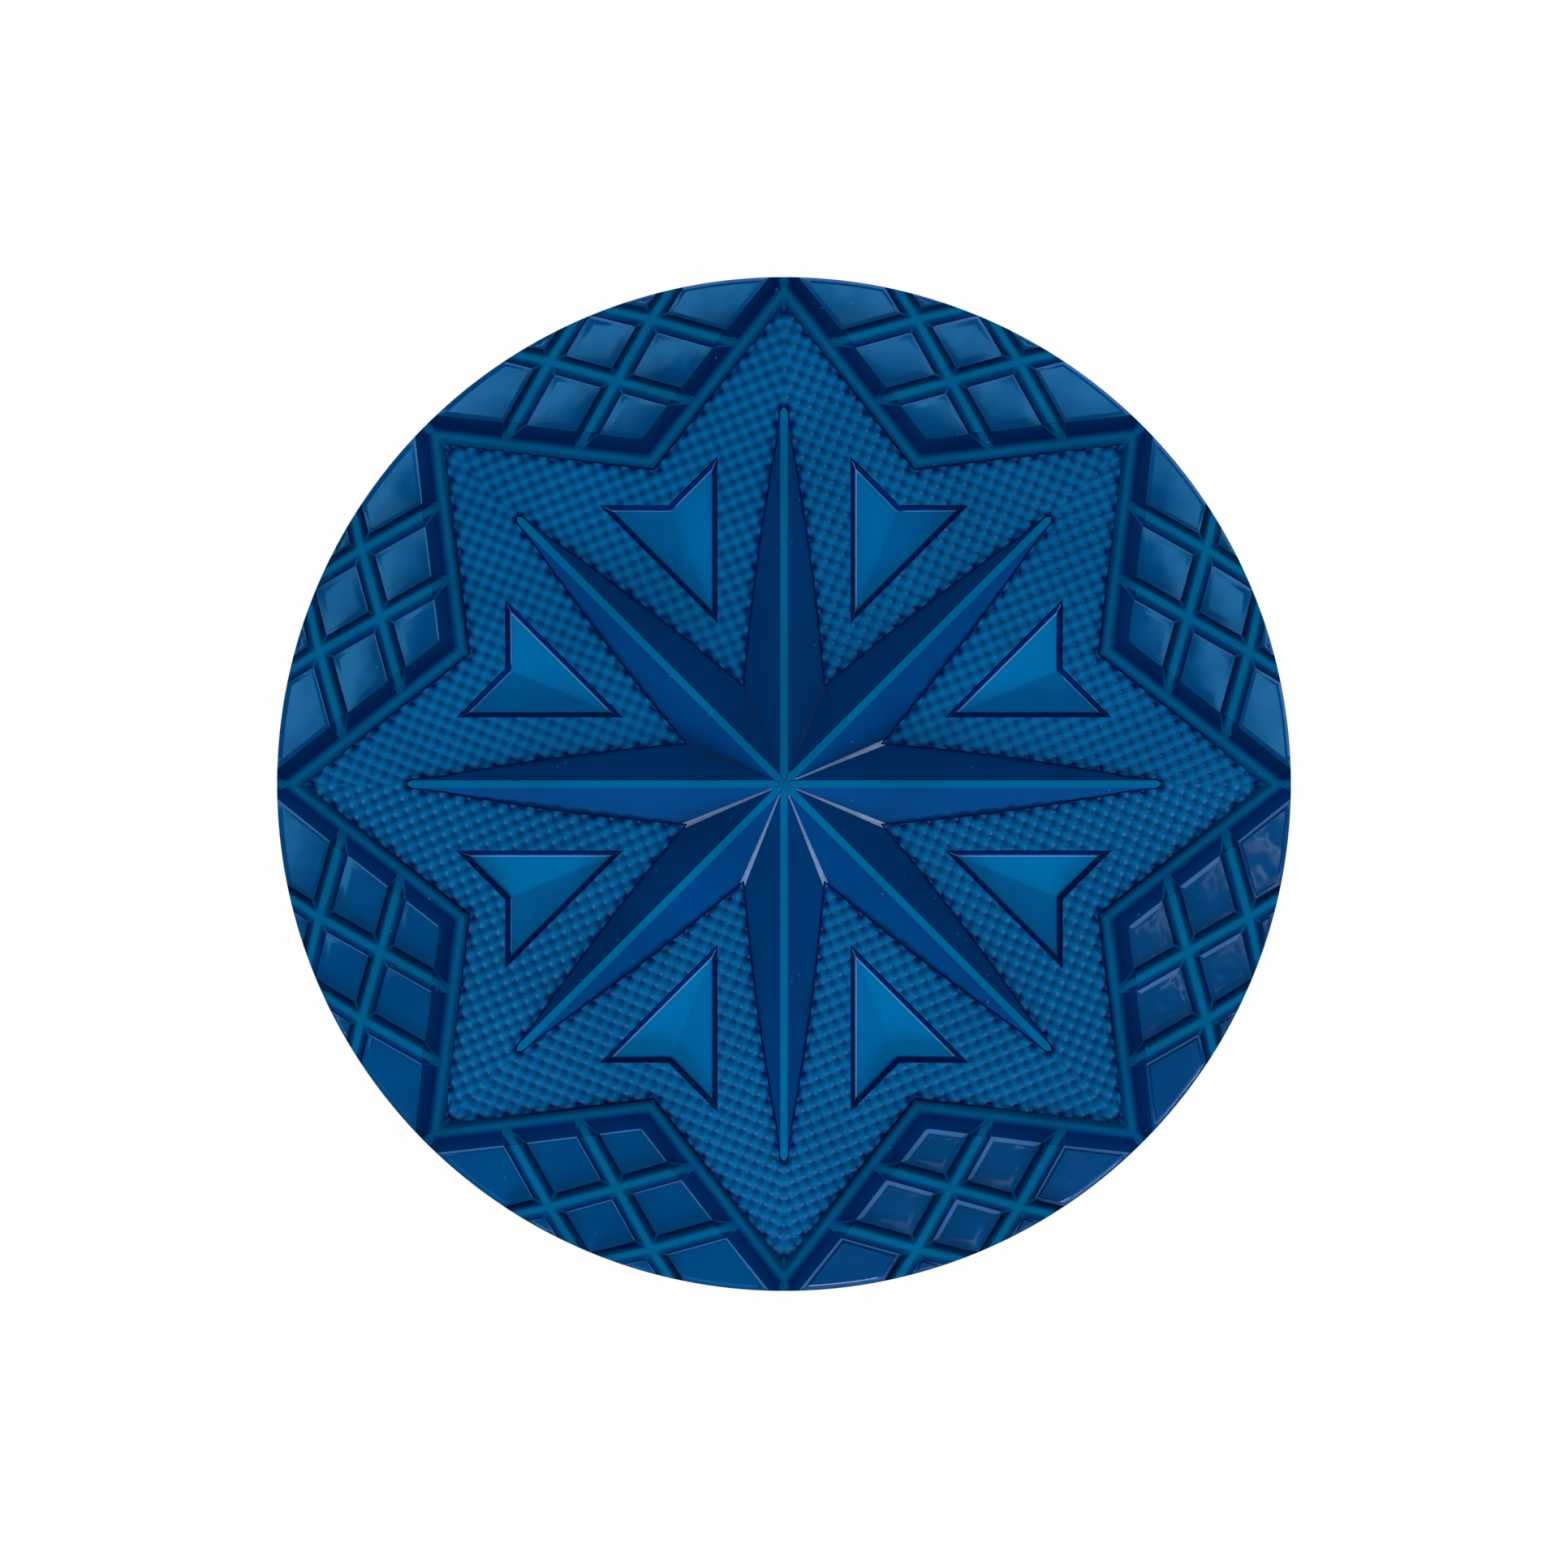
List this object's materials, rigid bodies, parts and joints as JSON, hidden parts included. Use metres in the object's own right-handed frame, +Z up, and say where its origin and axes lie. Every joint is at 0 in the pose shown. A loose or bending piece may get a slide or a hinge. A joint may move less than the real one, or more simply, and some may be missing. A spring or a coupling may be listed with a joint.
{
  "type": "star medallion",
  "caption": "Round blue glass medallion with a ridged star, beaded field, arrowhead insets, zigzag border and lattice corners, hung on a wall by a hinged ring.",
  "frame": {"origin": "the point on the inside of the hanger ring's crown where it hangs on a nail", "axes": "+Z up, +Y from the face to the wall, +X to the right as seen from the front"},
  "size_m": [0.15, 0.014, 0.15],
  "materials": {
    "plate_glass": "gloss",
    "field_glass": "gloss",
    "border_glass": "gloss",
    "ray_glass": "gloss",
    "arrow_glass": "gloss",
    "lattice_glass": "gloss",
    "pane_glass": "gloss",
    "pad_foam": "matt",
    "hanger_steel": "satin",
    "bumper_rubber": "satin"
  },
  "bodies": {
    "medallion": {"back_plate": "plate_glass", "star_field": "field_glass", "star_border": "border_glass", "star_ray_1": "ray_glass", "star_ray_2": "ray_glass", "star_ray_3": "ray_glass", "star_ray_4": "ray_glass", "star_ray_5": "ray_glass", "star_ray_6": "ray_glass", "star_ray_7": "ray_glass", "star_ray_8": "ray_glass", "arrow_inset_1": "arrow_glass", "arrow_inset_2": "arrow_glass", "arrow_inset_3": "arrow_glass", "arrow_inset_4": "arrow_glass", "arrow_inset_5": "arrow_glass", "arrow_inset_6": "arrow_glass", "arrow_inset_7": "arrow_glass", "arrow_inset_8": "arrow_glass", "corner_lattice_1": "lattice_glass", "corner_lattice_2": "lattice_glass", "corner_lattice_3": "lattice_glass", "corner_lattice_4": "lattice_glass", "corner_lattice_5": "lattice_glass", "corner_lattice_6": "lattice_glass", "corner_lattice_7": "lattice_glass", "corner_lattice_8": "lattice_glass", "corner_panes_1": "pane_glass", "corner_panes_2": "pane_glass", "corner_panes_3": "pane_glass", "corner_panes_4": "pane_glass", "corner_panes_5": "pane_glass", "corner_panes_6": "pane_glass", "corner_panes_7": "pane_glass", "corner_panes_8": "pane_glass", "hanger_pad": "pad_foam", "hanger_strap": "hanger_steel", "wall_bumpers": "bumper_rubber"},
    "ring": {"hanger_ring": "hanger_steel"}
  },
  "joints": [
    {"name": "ring_hinge", "type": "hinge", "parent": "medallion", "child": "ring", "pos_m": [0, 0.0005, -0.01419], "axis": [-1, 0, 0], "range_deg": [0, 180]}
  ]
}
